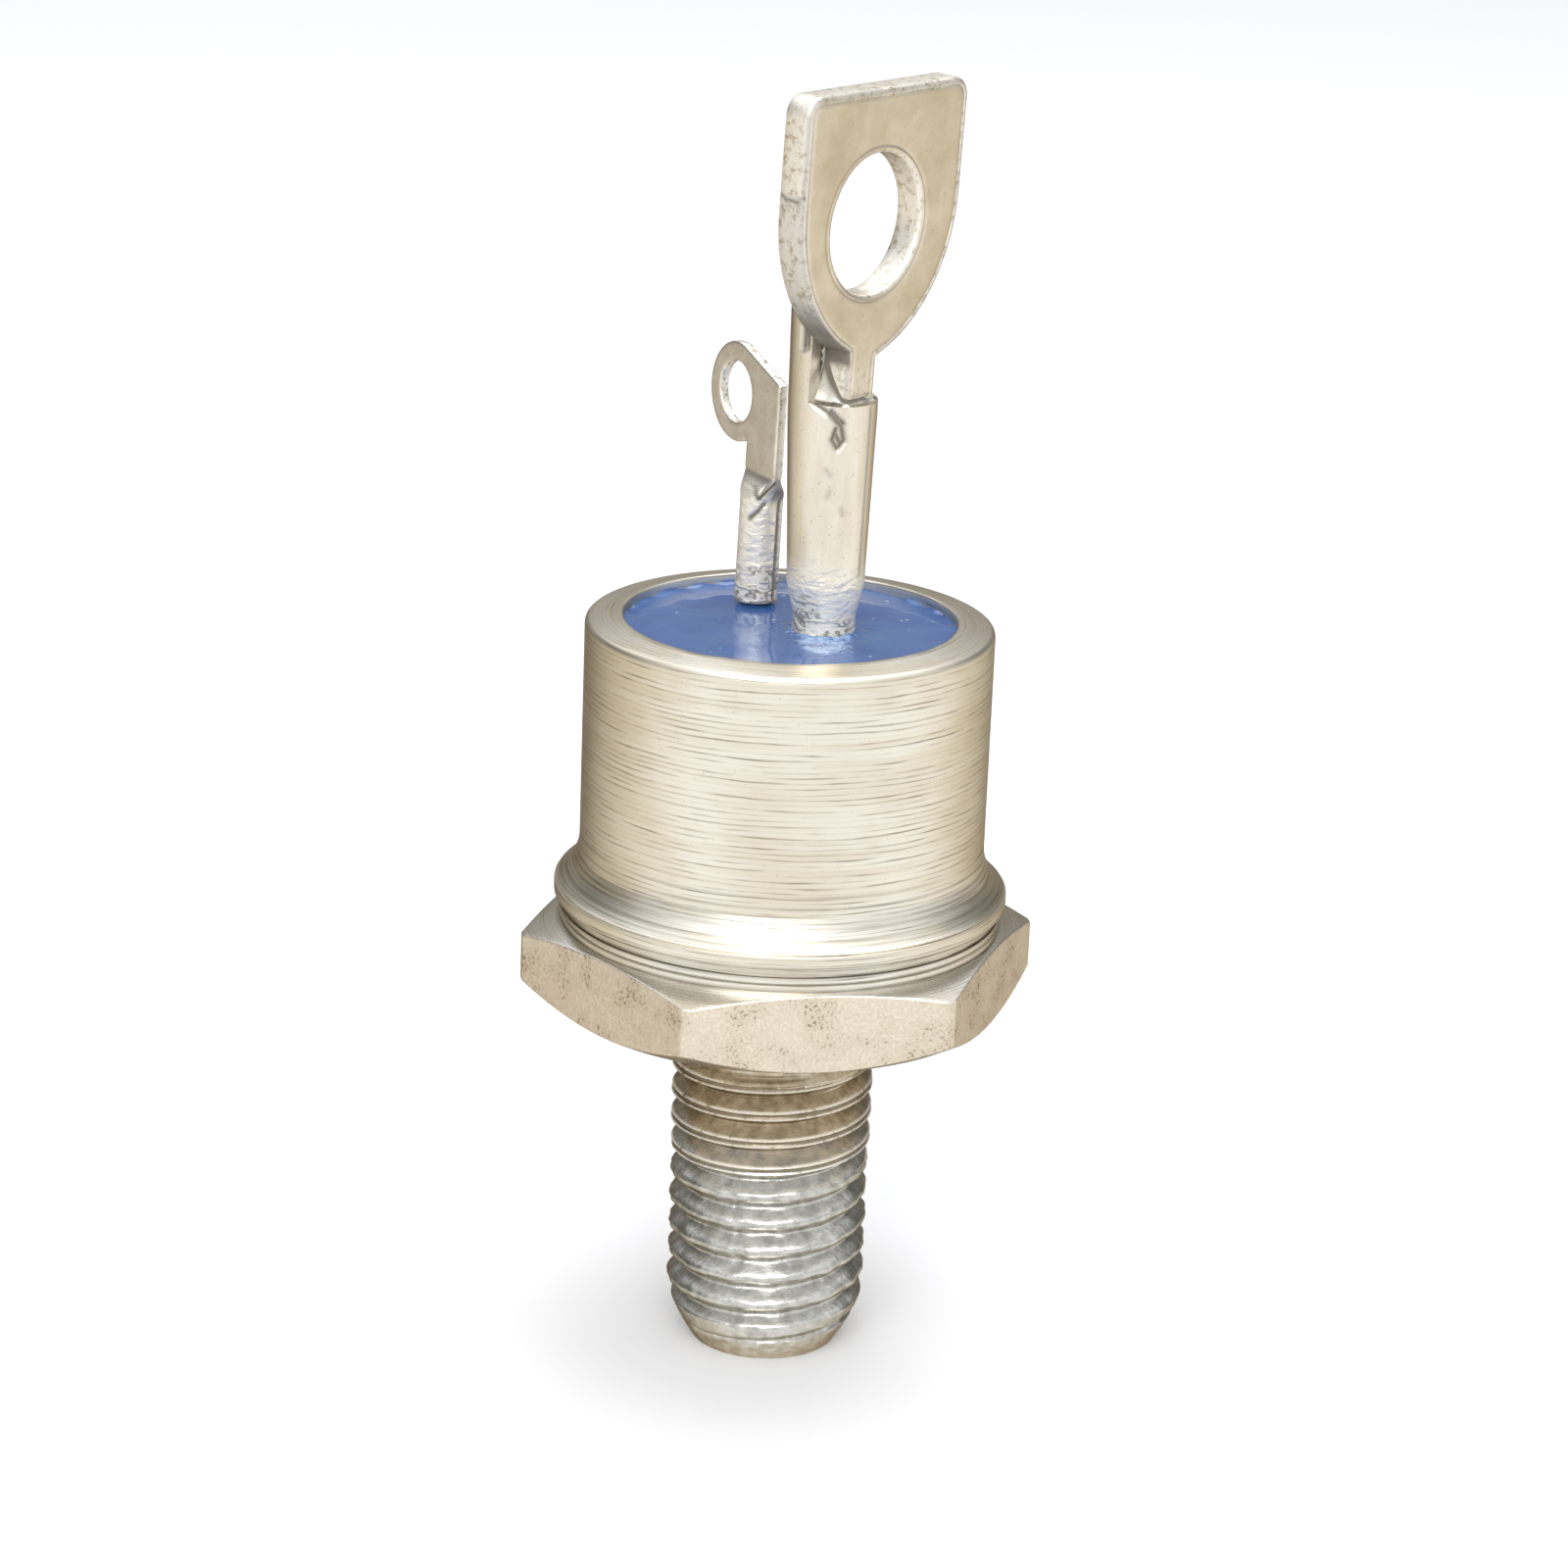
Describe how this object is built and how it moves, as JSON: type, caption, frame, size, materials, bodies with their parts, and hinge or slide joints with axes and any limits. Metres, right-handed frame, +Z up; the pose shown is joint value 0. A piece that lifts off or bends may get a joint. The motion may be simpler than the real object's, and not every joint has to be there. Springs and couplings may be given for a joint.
{
  "type": "thyristor",
  "caption": "Stud-mounted power thyristor: hexagon base, turned metal case, blue glass header, large flat cathode tag and small gate eye.",
  "frame": {"origin": "centre of the flat seating face under the hexagon, on the stud's axis", "axes": "+Z up along the stud's axis, from the stud to the terminals; two flats of the hexagon face +Y and -Y, and two of its corners lie on X"},
  "size_m": [0.016, 0.014, 0.0399],
  "materials": {
    "tinned_copper": "turned copper with a dull tin plating, fine concentric tool lines on the shoulder and small pits on the flats",
    "tinned_steel": "steel ring under the same dull tin plating",
    "tinned_case": "turned steel with a warm, satin tin plating and many fine broken lines round it",
    "blue_glass": "glossy blue sealing glass with small bubbles",
    "tinned_tube": "drawn nickel-iron tube with a smooth, bright tin plating",
    "tinned_tag": "stamped tag with a satin, warm grey tin plating and bright sheared edges",
    "solder": "soft solder with a smooth skin",
    "nickel_iron": "plain nickel-iron wire",
    "tinned_gate": "thin stamped sheet with a satin tin plating",
    "molybdenum": "ground molybdenum",
    "silicon": "polished silicon with a ground edge",
    "silicone": "cured silicone bead",
    "copper": "bare copper",
    "fluoropolymer": "white insulating sleeve"
  },
  "bodies": {
    "root": {"stud_base": "tinned_copper", "weld_ring": "tinned_steel", "case": "tinned_case", "glass_seal": "blue_glass", "cathode_tube": "tinned_tube", "cathode_tag": "tinned_tag", "tag_solder": "solder", "gate_pin": "nickel_iron", "gate_terminal": "tinned_gate", "anode_solder": "solder", "anode_plate": "molybdenum", "silicon_pellet": "silicon", "junction_coat": "silicone", "cathode_solder": "solder", "cathode_plate": "molybdenum", "lead_ferrule": "copper", "cathode_lead": "copper", "gate_wire": "nickel_iron", "gate_sleeve": "fluoropolymer"}
  },
  "joints": []
}
